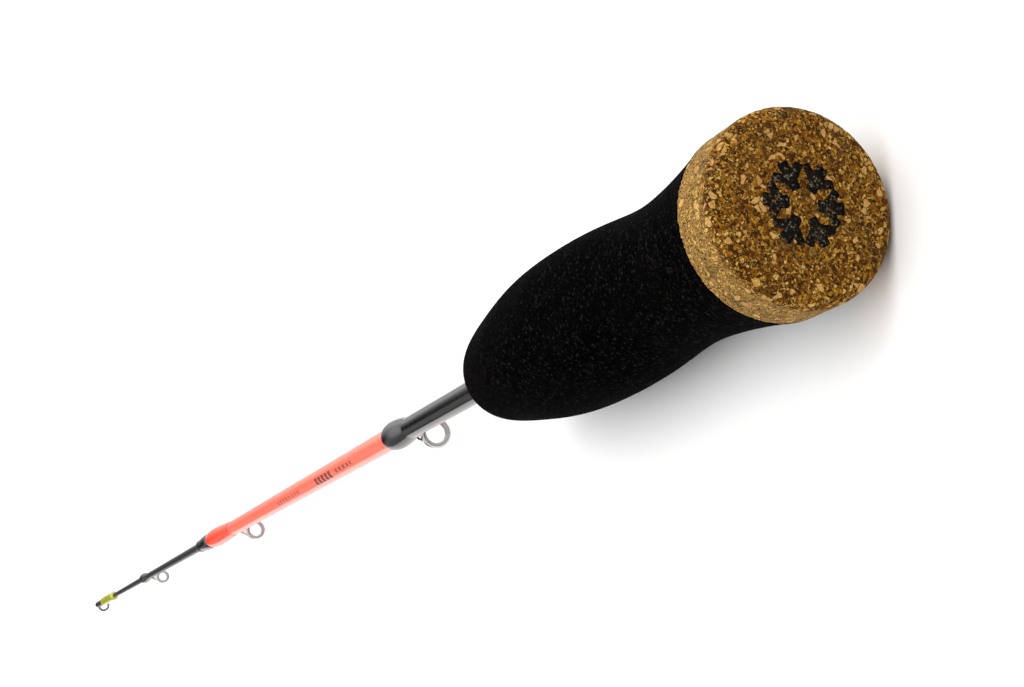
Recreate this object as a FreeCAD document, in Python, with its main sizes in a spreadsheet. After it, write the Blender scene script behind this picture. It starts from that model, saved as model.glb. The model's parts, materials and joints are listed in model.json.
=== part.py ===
import FreeCAD, Part

import os
import re

import Sketcher
from FreeCAD import Placement, Rotation, Vector

# A short ice-fishing rod. +X runs along the rod from the butt to the tip, +Z is up and the line
# guides hang towards -Z. The origin is the centre of the butt cap's flat end. All in millimetres.

SIZES = {
    # composite cork butt cap, with a debossed snowflake in its end
    "cap_radius": 13.9,
    "cap_thickness": 9.0,
    "cap_edge": 1.9,
    "mark_depth": 0.6,
    "mark_ink": 0.25,
    "mark_hub": 2.1,
    "mark_reach": 6.2,
    "mark_arm_width": 1.7,
    "mark_branch_width": 1.25,
    "mark_branch_length": 2.9,
    "mark_branch_start": 3.4,
    "mark_branch_angle": 55.0,
    # foam grip: stations along its outline and the radius at each
    "grip_flare_along": 16.0,
    "grip_flare_radius": 12.8,
    "grip_neck_along": 25.0,
    "grip_neck_radius": 11.8,
    "grip_waist_along": 35.0,
    "grip_waist_radius": 11.42,
    "grip_rise_along": 50.0,
    "grip_rise_radius": 12.7,
    "grip_swell_along": 66.0,
    "grip_swell_radius": 13.5,
    "grip_shoulder_along": 80.0,
    "grip_shoulder_radius": 13.1,
    "grip_fall_along": 93.0,
    "grip_fall_radius": 11.45,
    "grip_brow_along": 102.0,
    "grip_brow_radius": 9.9,
    "grip_nose_along": 109.0,
    "grip_nose_radius": 7.4,
    "grip_end": 112.0,
    "grip_end_radius": 4.2,
    "grip_snug": 102.0,
    # tape arbors that centre the grip on the blank
    "arbor_radius": 4.2,
    "arbor_length": 8.0,
    "arbor_first": 14.0,
    "arbor_pitch": 38.0,
    # hollow blank
    "tube_start": 4.0,
    "tube_radius": 2.5,
    "tube_bore": 1.5,
    "tube_end": 388.0,
    "taper_start": 177.0,
    "tube_taper": 0.0018,
    "coat_end": 371.0,
    "coat_thickness": 0.12,
    # solid tip spliced into the hollow blank
    "tip_shank_start": 358.0,
    "tip_shank_radius": 1.48,
    "tip_root_radius": 1.42,
    "tip_taper": 0.0024,
    "tip_end": 622.0,
    # line guides: the ring hangs under the blank on a neck, and a foot lies along the blank
    "neck_thickness": 0.7,
    "neck_width": 2.2,
    "foot_width": 1.8,
    "foot_height": 0.55,
    "thread_thickness": 0.22,
    "foot_cover": 1.5,
    "foot_cover_lift": 0.5,
    "resin_over_foot": 0.2,
    "resin_sag": 0.2,
    "resin_lip": 0.12,
    "frame_width": 1.0,
    "insert_width": 1.5,
    "insert_round": 0.35,
    "stripper_ring": 167.4,
    "stripper_drop": 7.1,
    "stripper_frame_radius": 3.5,
    "stripper_insert_radius": 2.95,
    "stripper_bore": 2.3,
    "stripper_foot": 9.0,
    "stripper_resin_start": 163.0,
    "stripper_resin_end": 177.0,
    "stripper_resin_radius": 3.3,
    "middle_ring": 341.0,
    "middle_drop": 7.4,
    "middle_frame_radius": 3.0,
    "middle_insert_radius": 2.5,
    "middle_bore": 1.9,
    "middle_foot": 27.5,
    "middle_resin_start": 339.5,
    "middle_resin_end": 371.0,
    "middle_resin_radius": 2.95,
    "front_ring": 491.0,
    "front_drop": 5.6,
    "front_frame_radius": 2.5,
    "front_insert_radius": 2.05,
    "front_bore": 1.5,
    "front_foot": 11.0,
    "front_resin_start": 489.6,
    "front_resin_end": 504.0,
    "front_resin_radius": 1.95,
    # black winding over the splice
    "splice_wrap_start": 372.5,
    "splice_wrap_end": 386.5,
    "splice_resin_start": 371.2,
    "splice_resin_end": 391.5,
    "splice_resin_radius": 2.75,
    "glue_gap": 0.03,
    # high-visibility winding and the tip top
    "band_start": 577.0,
    "band_end": 606.0,
    "band_radius": 1.65,
    "band_resin_start": 575.5,
    "band_resin_end": 609.0,
    "band_resin_radius": 1.88,
    "top_tube_start": 607.0,
    "top_tube_end": 625.5,
    "top_tube_radius": 1.35,
    "top_ring": 629.0,
    "top_drop": 3.1,
    "top_frame_radius": 2.6,
    "top_insert_radius": 2.15,
    "top_bore": 1.55,
    "top_arm_width": 1.1,
    "top_arm_low": 1.2,
    "top_arm_height": 0.9,
    "top_arm_overlap": 1.5,
}

ALONG_X = Placement(Vector(0, 0, 0), Rotation(Vector(0, 1, 0), 90))
SMALL = 1e-6

doc = FreeCAD.newDocument("ice_rod")


# ---------------------------------------------------------------- the sheet and its formulas


def fill_sheet():
    """Puts every driving dimension in the sheet, one row each, with its name as the alias."""
    made = doc.addObject("Spreadsheet::Sheet", "Sizes")
    for row, (alias, number) in enumerate(SIZES.items(), start=1):
        made.set(f"A{row}", alias)
        made.set(f"B{row}", str(number))
        made.setAlias(f"B{row}", alias)
    doc.recompute()
    return made


sheet = fill_sheet()


def linked(formula):
    """The formula with each name of the sheet written as a reference to its cell."""
    return re.sub(r"[a-z_]{3,}", lambda m: "Sizes." + m[0] if m[0] in SIZES else m[0], formula)


def number(formula):
    """What the formula comes to now."""
    found = sheet.evalExpression(linked(formula))
    return float(getattr(found, "Value", found))


def bind(piece, path, formula):
    """Ties one size of an object to the sheet."""
    piece.setExpression(path, linked(formula))


def tube_surface(along):
    """Radius of the hollow blank past the point where its taper starts."""
    return f"(tube_radius - ({along} - taper_start) * tube_taper)"


def coat_surface(along):
    """Radius of the lacquered stretch of the hollow blank."""
    return f"({tube_surface(along)} + coat_thickness)"


def butt_surface(along):
    """Radius of the parallel butt stretch of the hollow blank, the same all along."""
    return "tube_radius"


def tip_surface(along):
    """Radius of the solid tip where it stands out of the hollow blank."""
    return f"(tip_root_radius - ({along} - tube_end) * tip_taper)"


# ---------------------------------------------------------------- ways of making a piece


def plane_of(body, role):
    """One of the body's own origin planes."""
    return next(f for f in body.Origin.OriginFeatures if f.Role == role)


def pin_point(sketch, curve, end, along, out):
    """Fixes an end of a sketch curve at its distances from the origin, tied to the sheet."""
    for kind, axis, formula in (("DistanceX", -2, along), ("DistanceY", -1, out)):
        if formula == "0":
            sketch.addConstraint(Sketcher.Constraint("PointOnObject", curve, end, axis))
            continue
        rule = Sketcher.Constraint(kind, -1, 1, curve, end, number(formula))
        index = sketch.addConstraint(rule)
        bind(sketch, f"Constraints[{index}]", formula)


def spot(corner):
    """A corner's place in its sketch."""
    return Vector(number(corner[0]), number(corner[1]), 0)


def end_near(sketch, curve, place):
    """Which end of a sketch curve, 1 or 2, is at that place."""
    gap = (sketch.getPoint(curve, 1) - place).Length
    return 1 if gap < (sketch.getPoint(curve, 2) - place).Length else 2


def draw_outline(sketch, corners):
    """A closed outline. A corner is (along, out); one with a third item is a point that an arc
    passes through, or, where that item is a list, the curve passes through all of the list."""
    stops = [i for i, c in enumerate(corners) if len(c) == 2]
    for here, there in zip(stops, stops[1:] + [len(corners)]):
        first, last = corners[here], corners[there % len(corners)]
        between = corners[here + 1 : there]
        if not between:
            shape = Part.LineSegment(spot(first), spot(last))
        elif between[0][2] == "arc":
            shape = Part.Arc(spot(first), spot(between[0]), spot(last))
        else:
            shape = Part.BSplineCurve()
            shape.interpolate([spot(c) for c in (first, *between, last)])
        curve = sketch.addGeometry(shape, False)
        pin_point(sketch, curve, end_near(sketch, curve, spot(first)), *first)
        pin_point(sketch, curve, end_near(sketch, curve, spot(last)), *last)
        if between and between[0][2] == "arc":
            through = sketch.addGeometry(Part.Point(spot(between[0])), True)
            pin_point(sketch, through, 1, *between[0][:2])
            sketch.addConstraint(Sketcher.Constraint("PointOnObject", through, 1, curve))


def turned(label, corners, drop="0"):
    """A piece turned about a line along X: its half outline is spun once. The line is drop below
    the rod's axis."""
    body = doc.addObject("PartDesign::Body", label)
    body.Label = label
    sketch = body.newObject("Sketcher::SketchObject", label + "_outline")
    sketch.AttachmentSupport = (plane_of(body, "XZ_Plane"), [""])
    sketch.MapMode = "FlatFace"
    draw_outline(sketch, corners)
    doc.recompute()
    turn = body.newObject("PartDesign::Revolution", label + "_turn")
    turn.Profile = sketch
    turn.ReferenceAxis = (sketch, ["H_Axis"])
    turn.Angle = 360
    sketch.Visibility = False
    if drop != "0":
        bind(body, ".Placement.Base.z", f"-({drop})")
    doc.recompute()
    return body


def rod(label, start, end, radius, end_radius=None, drop="0"):
    """A cylinder, or a cone where an end radius is given, lying along X."""
    piece = doc.addObject("Part::Cone" if end_radius else "Part::Cylinder", label)
    piece.Label = label
    piece.Placement = ALONG_X
    bind(piece, "Radius1" if end_radius else "Radius", radius)
    if end_radius:
        bind(piece, "Radius2", end_radius)
    bind(piece, "Height", f"({end}) - ({start})")
    bind(piece, ".Placement.Base.x", start)
    bind(piece, ".Placement.Base.z", f"-({drop})")
    return piece


def block(label, start, length, width, low, height):
    """A box centred on the XZ plane."""
    piece = doc.addObject("Part::Box", label)
    piece.Label = label
    bind(piece, "Length", length)
    bind(piece, "Width", width)
    bind(piece, "Height", height)
    bind(piece, ".Placement.Base.x", start)
    bind(piece, ".Placement.Base.y", f"-({width}) / 2")
    bind(piece, ".Placement.Base.z", low)
    return piece


def joined(label, *pieces):
    """The pieces as one solid."""
    made = doc.addObject("Part::MultiFuse", label)
    made.Label = label
    made.Shapes = list(pieces)
    made.Refine = True
    return made


def less(label, piece, *tools):
    """The piece with the tools' space cut out of it."""
    for count, tool in enumerate(tools, start=1):
        cut = doc.addObject("Part::Cut", label if count == len(tools) else f"{label}_cut_{count}")
        cut.Base = piece
        cut.Tool = tool
        cut.Refine = True
        piece = cut
    piece.Label = label
    return piece


# ---------------------------------------------------------------- the handle


def mark_arms(label, start, height):
    """Six separate snowflake arms, each a bar with two branches, standing along X."""
    arms = []
    for turn in range(6):
        bars = []
        for side, width in ((0, "mark_arm_width"), (1, "mark_branch_width"), (-1, "mark_branch_width")):
            bar = doc.addObject("Part::Box", f"{label}_bar")
            bind(bar, "Length", height)
            bind(bar, "Width", width)
            bind(bar, "Height", "mark_branch_length" if side else "mark_reach - mark_hub")
            foot = number("mark_branch_start") if side else number("mark_hub")
            lean = side * number("mark_branch_angle")
            centred = Placement(Vector(number(start), -number(width) / 2, 0), Rotation())
            leaned = Placement(Vector(0, 0, foot), Rotation(Vector(1, 0, 0), lean))
            swung = Placement(Vector(0, 0, 0), Rotation(Vector(1, 0, 0), 60 * turn))
            bar.Placement = swung.multiply(leaned).multiply(centred)
            bars.append(bar)
        arms.append(joined(f"{label}_arm", *bars))
    group = doc.addObject("Part::Compound", label)
    group.Label = label
    group.Links = arms
    return group


def make_butt_cap():
    """The cork disc, with a blind socket for the blank and the debossed mark."""
    disc = turned(
        "cap_disc",
        [
            ("0", "0"),
            ("cap_thickness", "0"),
            ("cap_thickness", "cap_radius"),
            ("cap_edge", "cap_radius"),
            ("cap_edge * (1 - cos(45))", "cap_radius - cap_edge * (1 - cos(45))", "arc"),
            ("0", "cap_radius - cap_edge"),
        ],
    )
    socket = rod("cap_socket", "tube_start", "cap_thickness + 1", "tube_radius")
    recess = mark_arms("cap_recess", "-1", "mark_depth + 1")
    return less("butt_cap", disc, socket, recess)


def make_grip():
    """The foam grip: a flared collar at the cap, a waist, a palm swell and a rounded nose."""
    stations = ("flare", "neck", "waist", "rise", "swell", "shoulder", "fall", "brow", "nose")
    curve = [(f"grip_{s}_along", f"grip_{s}_radius", "curve") for s in stations]
    return turned(
        "grip",
        [
            ("cap_thickness", "cap_radius"),
            *curve,
            ("grip_end", "grip_end_radius"),
            ("grip_end", "tube_radius"),
            ("grip_snug", "tube_radius"),
            ("grip_snug", "arbor_radius"),
            ("cap_thickness", "arbor_radius"),
        ],
    )


def make_arbors():
    """Three rings of wound tape between the blank and the grip's bore."""
    made = []
    for count, place in enumerate(("rear", "centre", "front")):
        start = f"(arbor_first + {count} * arbor_pitch)"
        ring = rod(f"arbor_disc_{place}", start, f"{start} + arbor_length", "arbor_radius")
        hole = rod(f"arbor_hole_{place}", f"{start} - 1", f"{start} + arbor_length + 1", "tube_radius")
        made.append(less(f"tape_arbor_{place}", ring, hole))
    return made


# ---------------------------------------------------------------- the blank


def make_blank():
    """The hollow blank, the lacquer on its middle stretch, and the solid tip."""
    tube = turned(
        "blank_tube",
        [
            ("tube_start", "tube_bore"),
            ("tube_end", "tube_bore"),
            ("tube_end", tube_surface("tube_end")),
            ("taper_start", "tube_radius"),
            ("tube_start", "tube_radius"),
        ],
    )
    coat = turned(
        "orange_lacquer",
        [
            ("taper_start", "tube_radius"),
            ("coat_end", tube_surface("coat_end")),
            ("coat_end", coat_surface("coat_end")),
            ("taper_start", coat_surface("taper_start")),
        ],
    )
    tip = turned(
        "blank_tip",
        [
            ("tip_shank_start", "0"),
            ("tip_end", "0"),
            ("tip_end", tip_surface("tip_end")),
            ("tube_end", "tip_root_radius"),
            ("tube_end", "tip_shank_radius"),
            ("tip_shank_start", "tip_shank_radius"),
        ],
    )
    return [tube, coat, tip]


def core(label, surface, start, end):
    """The space that the blank fills over a stretch, to cut out of what is wound round it."""
    if surface is butt_surface:
        return rod(label, start, end, surface(start))
    return rod(label, start, end, surface(start), surface(end))


def wound(label, surface, start, end):
    """A plain winding of thread: a thin sleeve on the blank."""
    cover = f"{surface('(' + start + ')')} + thread_thickness"
    return rod(label, start, end, cover)


# ---------------------------------------------------------------- the line guides


def ring_disc(name):
    """The disc that the guide's metal ring is bored from."""
    ring = f"{name}_ring"
    end = f"{ring} + frame_width"
    return rod(f"{name}_ring_disc", ring, end, f"{name}_frame_radius", drop=f"{name}_drop")


def ring_seat(name):
    """The hole that the insert fills."""
    start, end = f"({name}_ring - 1)", f"({name}_ring + frame_width + 1)"
    return rod(f"{name}_seat", start, end, f"{name}_insert_radius", drop=f"{name}_drop")


def ring_insert(label, name):
    """The ceramic ring, straight in the middle of its bore and rounded at both mouths."""
    middle = f"({name}_ring + frame_width / 2)"
    back = f"{middle} - insert_width / 2"
    front = f"{middle} + insert_width / 2"
    wide = f"{name}_bore + insert_round"
    bulge = "insert_round * (1 - cos(45))"
    return turned(
        label,
        [
            (f"{back} + insert_round", f"{name}_bore"),
            (f"{front} - insert_round", f"{name}_bore"),
            (f"{front} - {bulge}", f"{name}_bore + {bulge}", "arc"),
            (front, wide),
            (front, f"{name}_insert_radius"),
            (back, f"{name}_insert_radius"),
            (back, wide),
            (f"{back} + {bulge}", f"{name}_bore + {bulge}", "arc"),
        ],
        f"{name}_drop",
    )


def make_guide(name, surface):
    """One guide: its frame with neck and foot, the insert, the thread over the foot, the resin."""
    ring, foot_end = f"{name}_ring", f"({name}_ring + {name}_foot)"
    blank = core(f"{name}_core", surface, f"({name}_resin_start - 2)", f"({name}_resin_end + 2)")
    at_ring = surface(f"{name}_ring")

    disc = ring_disc(name)
    neck_low = f"-({name}_drop - {name}_insert_radius)"
    neck = block(f"{name}_neck", ring, "neck_thickness", "neck_width", neck_low, f"-({neck_low})")
    foot_low = f"-({at_ring} + foot_height)"
    foot = block(f"{name}_foot_bar", ring, f"{name}_foot", "foot_width", foot_low, f"-({foot_low})")
    rough = joined(f"{name}_rough_frame", disc, neck, foot)
    frame = less(f"{name}_guide_frame", rough, blank, ring_seat(name))

    insert = ring_insert(f"{name}_guide_insert", name)

    wrap_start = f"({ring} + neck_thickness + 0.3)"
    wrap_end = f"({foot_end} + 0.3)"
    sleeve = wound(f"{name}_sleeve", surface, wrap_start, wrap_end)
    cover_drop = f"{at_ring} - foot_cover_lift"
    hump = rod(f"{name}_hump", wrap_start, wrap_end, "foot_cover", drop=cover_drop)
    thread = less(f"{name}_guide_thread", joined(f"{name}_winding", sleeve, hump), blank, frame)

    start, end = f"{name}_resin_start", f"{name}_resin_end"
    spindle = turned(
        f"{name}_spindle",
        [
            (start, "0"),
            (end, "0"),
            (end, f"{surface(end)} + resin_lip"),
            (f"({start} + {end}) / 2", f"{name}_resin_radius", "arc"),
            (start, f"{surface(start)} + resin_lip"),
        ],
        "resin_sag",
    )
    blister = rod(f"{name}_blister", f"{wrap_start} - 0.2", f"{wrap_end} + 0.2",
                  "foot_cover + resin_over_foot", drop=cover_drop)
    pool = joined(f"{name}_pool", spindle, blister)
    whole_wrap = joined(f"{name}_whole_wrap", sleeve, hump)
    resin = less(f"{name}_guide_resin", pool, blank, whole_wrap, frame)
    return [frame, insert, thread, resin]


# ---------------------------------------------------------------- splice and tip


def make_splice():
    """The black winding at the end of the hollow blank and the resin that covers the step."""
    blank = core("splice_core", tube_surface, "splice_resin_start - 1", "tube_end")
    sleeve = wound("splice_sleeve", tube_surface, "splice_wrap_start", "splice_wrap_end")
    thread = less("splice_thread", sleeve, blank)
    hole = rod("splice_hole", "tube_end - 1", "splice_resin_end + 1", "tip_root_radius + glue_gap")
    pool = turned(
        "splice_pool",
        [
            ("splice_resin_start", "0"),
            ("splice_resin_end", "0"),
            ("splice_resin_end", "tip_root_radius + resin_lip"),
            ("tube_end", "splice_resin_radius - 0.15"),
            ("(splice_resin_start + tube_end) / 2", "splice_resin_radius", "arc"),
            ("splice_resin_start", f"{tube_surface('splice_resin_start')} + resin_lip"),
        ],
    )
    return [thread, less("splice_resin", pool, blank, sleeve, hole)]


def make_tip_top():
    """The bright band below the tip top, and the tip top: tube, frame and insert."""
    blank = core("band_core", tip_surface, "band_resin_start - 1", "tip_end")
    sleeve = rod("band_sleeve", "band_start", "band_end", "band_radius")
    band = less("tip_band_thread", sleeve, blank)
    tube_solid = turned(
        "top_tube_solid",
        [
            ("top_tube_start", "0"),
            ("top_tube_end", "0"),
            ("top_tube_end", "top_tube_radius * 0.75"),
            ("top_tube_end - top_tube_radius * 0.1", "top_tube_radius * 0.93", "arc"),
            ("top_tube_end - top_tube_radius * 0.35", "top_tube_radius"),
            ("top_tube_start", "top_tube_radius"),
        ],
    )
    tube = less("tip_top_tube", tube_solid, blank)
    pool = turned(
        "band_pool",
        [
            ("band_resin_start", "0"),
            ("band_resin_end", "0"),
            ("band_resin_end", "top_tube_radius + resin_lip"),
            ("band_end", "band_resin_radius"),
            ("band_start", "band_resin_radius"),
            ("band_resin_start", f"{tip_surface('band_resin_start')} + resin_lip"),
        ],
    )
    resin = less("tip_band_resin", pool, blank, sleeve, tube_solid)

    arm_start = "top_tube_end - top_arm_overlap"
    arm_length = "top_ring + frame_width - top_tube_end + top_arm_overlap"
    arm = block("top_arm", arm_start, arm_length, "top_arm_width", "-top_arm_low", "top_arm_height")
    rough = joined("top_rough_frame", ring_disc("top"), arm)
    frame = less("tip_top_frame", rough, tube_solid, ring_seat("top"))
    insert = ring_insert("tip_top_insert", "top")
    return [band, resin, tube, frame, insert]


# ---------------------------------------------------------------- the whole rod


def check(pieces):
    """Stops unless everything in the document worked and each piece is sound."""
    for thing in doc.Objects:
        if {"Invalid", "Error"} & set(thing.State):
            raise RuntimeError(f"{thing.Label} failed: {thing.State}")
    for piece in pieces:
        shape = piece.Shape
        if shape.isNull() or not shape.isValid() or not shape.Solids:
            raise RuntimeError(f"{piece.Label} has no sound shape")
        if min(solid.Volume for solid in shape.Solids) < SMALL:
            raise RuntimeError(f"{piece.Label} holds an empty or inverted solid")


def main():
    """Builds every piece and writes one STEP file for each."""
    pieces = [make_butt_cap(), make_grip(), *make_arbors(), *make_blank()]
    pieces.append(mark_arms("mark_ink", "mark_depth - mark_ink", "mark_ink"))
    pieces += make_guide("stripper", butt_surface)
    pieces += make_guide("middle", coat_surface)
    pieces += make_guide("front", tip_surface)
    pieces += make_splice()
    pieces += make_tip_top()
    doc.recompute()
    check(pieces)
    os.makedirs("parts", exist_ok=True)
    for piece in pieces:
        piece.Shape.exportStep(f"parts/{piece.Label}.step")
        box = piece.Shape.BoundBox
        print(f"{piece.Label:24s} {len(piece.Shape.Solids)} solid(s) {piece.Shape.Volume:10.2f} mm3"
              f"  x {box.XMin:.1f}..{box.XMax:.1f}  z {box.ZMin:.2f}..{box.ZMax:.2f}")


main()
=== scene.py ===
"""The looks of a short ice-fishing rod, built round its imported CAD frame.

The rod lies along +X from butt to tip, with its line guides hanging towards -Z. Every size and
place comes from the frame's boxes and mounts. Lengths in this file are in metres.
"""

from __future__ import annotations

import json
import logging
import math
from contextlib import contextmanager
from dataclasses import dataclass
from enum import Enum
from typing import Any, Callable, Iterator, Sequence

import bmesh
import bpy
import numpy as np
from mathutils import Matrix, Vector

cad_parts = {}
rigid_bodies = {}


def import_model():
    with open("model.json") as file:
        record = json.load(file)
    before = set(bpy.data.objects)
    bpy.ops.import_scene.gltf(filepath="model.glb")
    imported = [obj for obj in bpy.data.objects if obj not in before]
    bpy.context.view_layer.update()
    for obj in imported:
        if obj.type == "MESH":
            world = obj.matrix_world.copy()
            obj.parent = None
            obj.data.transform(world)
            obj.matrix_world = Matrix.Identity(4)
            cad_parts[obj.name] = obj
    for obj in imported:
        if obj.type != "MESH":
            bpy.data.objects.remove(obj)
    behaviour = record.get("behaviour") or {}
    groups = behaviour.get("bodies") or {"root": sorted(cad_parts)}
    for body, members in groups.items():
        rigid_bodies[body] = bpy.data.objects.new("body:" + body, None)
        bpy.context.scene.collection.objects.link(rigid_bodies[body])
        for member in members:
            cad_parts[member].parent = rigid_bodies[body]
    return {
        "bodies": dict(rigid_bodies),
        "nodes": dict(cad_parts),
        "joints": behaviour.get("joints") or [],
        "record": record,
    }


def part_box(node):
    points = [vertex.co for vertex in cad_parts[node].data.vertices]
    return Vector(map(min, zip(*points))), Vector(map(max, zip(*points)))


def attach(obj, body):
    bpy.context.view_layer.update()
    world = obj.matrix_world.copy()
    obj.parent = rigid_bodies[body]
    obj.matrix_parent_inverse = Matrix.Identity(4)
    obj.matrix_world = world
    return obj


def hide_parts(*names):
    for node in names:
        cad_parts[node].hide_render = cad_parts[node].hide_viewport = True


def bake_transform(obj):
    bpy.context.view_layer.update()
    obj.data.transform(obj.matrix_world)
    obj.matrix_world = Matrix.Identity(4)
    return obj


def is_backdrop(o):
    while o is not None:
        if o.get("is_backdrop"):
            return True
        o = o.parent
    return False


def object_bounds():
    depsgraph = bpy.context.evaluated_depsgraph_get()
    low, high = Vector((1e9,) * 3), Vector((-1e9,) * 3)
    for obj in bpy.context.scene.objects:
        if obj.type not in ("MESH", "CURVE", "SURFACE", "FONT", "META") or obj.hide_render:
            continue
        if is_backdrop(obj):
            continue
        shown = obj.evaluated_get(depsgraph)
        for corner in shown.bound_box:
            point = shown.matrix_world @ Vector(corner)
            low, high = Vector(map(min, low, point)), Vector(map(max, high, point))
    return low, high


LOG = logging.getLogger("ice_rod")
MM = 0.001
HALF_TURN = math.pi

# A Mix node has one socket of each name for every kind of data, so those for colour go by number.
MIX_SHARE, MIX_FIRST, MIX_SECOND, MIX_COLOUR = 0, 6, 7, 2

# Points closer together than this are one, and outlines are read at places this far apart.
MERGE = 0.001 * MM
GRID = 0.01 * MM

# A bent wire's radius at its end, as a share of that at its start.
WIRE_END = 0.72

Station = tuple[float, float]
Span = tuple[float, float]
Point = tuple[float, float, float]
Colour = tuple[float, float, float]
Stops = Sequence[tuple[float, Colour]]


class Body(Enum):
    """The bodies of the rod that pieces ride on."""

    HANDLE = "handle_and_blank"
    TIP = "tip"


class Slot(Enum):
    """The record's material slots that pieces take their finish from."""

    CORK = "cork"
    MARK = "mark_black"
    FOAM = "foam"
    TAPE = "tape"
    BLANK = "blank_black"
    LACQUER = "orange_lacquer"
    BLACK_WINDING = "black_winding"
    ORANGE_WINDING = "orange_winding"
    YELLOW_WINDING = "yellow_winding"
    GUIDE_METAL = "guide_metal"
    CERAMIC = "guide_ceramic"
    TIP_METAL = "tip_metal"


class Relief(Enum):
    """Procedural patterns that roughen a mesh."""

    CELLS = "VORONOI"
    CLOUDS = "CLOUDS"


class Cells(Enum):
    """What a pattern of irregular cells gives."""

    CENTRES = "F1"
    GAPS = "DISTANCE_TO_EDGE"


# ------------------------------------------------------------------ shader maths


class Wire:
    """One output of a shader node, with the usual arithmetic on its value."""

    def __init__(self, board: Board, socket: bpy.types.NodeSocket) -> None:
        """Wraps a socket on the board."""
        self.board = board
        self.socket = socket

    def _maths(self, operation: str, first: Any, second: Any = None) -> Wire:
        """Adds one Math node.

        Args:
            operation: The node's operation.
            first: Its first value, a Wire or a number.
            second: Its second value, where the operation has one.

        Returns:
            The node's result.
        """
        values = {0: first} if second is None else {0: first, 1: second}
        return self.board.wire("ShaderNodeMath", "Value", {"operation": operation}, values)

    def __add__(self, other: Any) -> Wire:
        """Self plus other."""
        return self._maths("ADD", self, other)

    def __sub__(self, other: Any) -> Wire:
        """Self minus other."""
        return self._maths("SUBTRACT", self, other)

    def __mul__(self, other: Any) -> Wire:
        """Self times other."""
        return self._maths("MULTIPLY", self, other)

    def __truediv__(self, other: Any) -> Wire:
        """Self over other."""
        return self._maths("DIVIDE", self, other)

    def __radd__(self, other: Any) -> Wire:
        """Other plus self."""
        return self._maths("ADD", other, self)

    def __rmul__(self, other: Any) -> Wire:
        """Other times self."""
        return self._maths("MULTIPLY", other, self)

    def __rsub__(self, other: Any) -> Wire:
        """Other minus self."""
        return self._maths("SUBTRACT", other, self)

    def __gt__(self, other: Any) -> Wire:
        """1 where self is above other, else 0."""
        return self._maths("GREATER_THAN", self, other)

    def __lt__(self, other: Any) -> Wire:
        """1 where self is below other, else 0."""
        return self._maths("LESS_THAN", self, other)

    def __abs__(self) -> Wire:
        """The size of self, without its sign."""
        return self._maths("ABSOLUTE", self)

    def sine(self) -> Wire:
        """The sine of self, in radians."""
        return self._maths("SINE", self)

    def fraction(self) -> Wire:
        """What is left of self past a whole number."""
        return self._maths("FRACT", self)

    def step(self, low: float, high: float) -> Wire:
        """A soft step.

        Args:
            low: Where the step leaves 0.
            high: Where it reaches 1.

        Returns:
            0 below low, 1 above high and a smooth rise between them.
        """
        settings = {"interpolation_type": "SMOOTHSTEP"}
        values = {"Value": self, "From Min": low, "From Max": high}
        return self.board.wire("ShaderNodeMapRange", "Result", settings, values)


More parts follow.
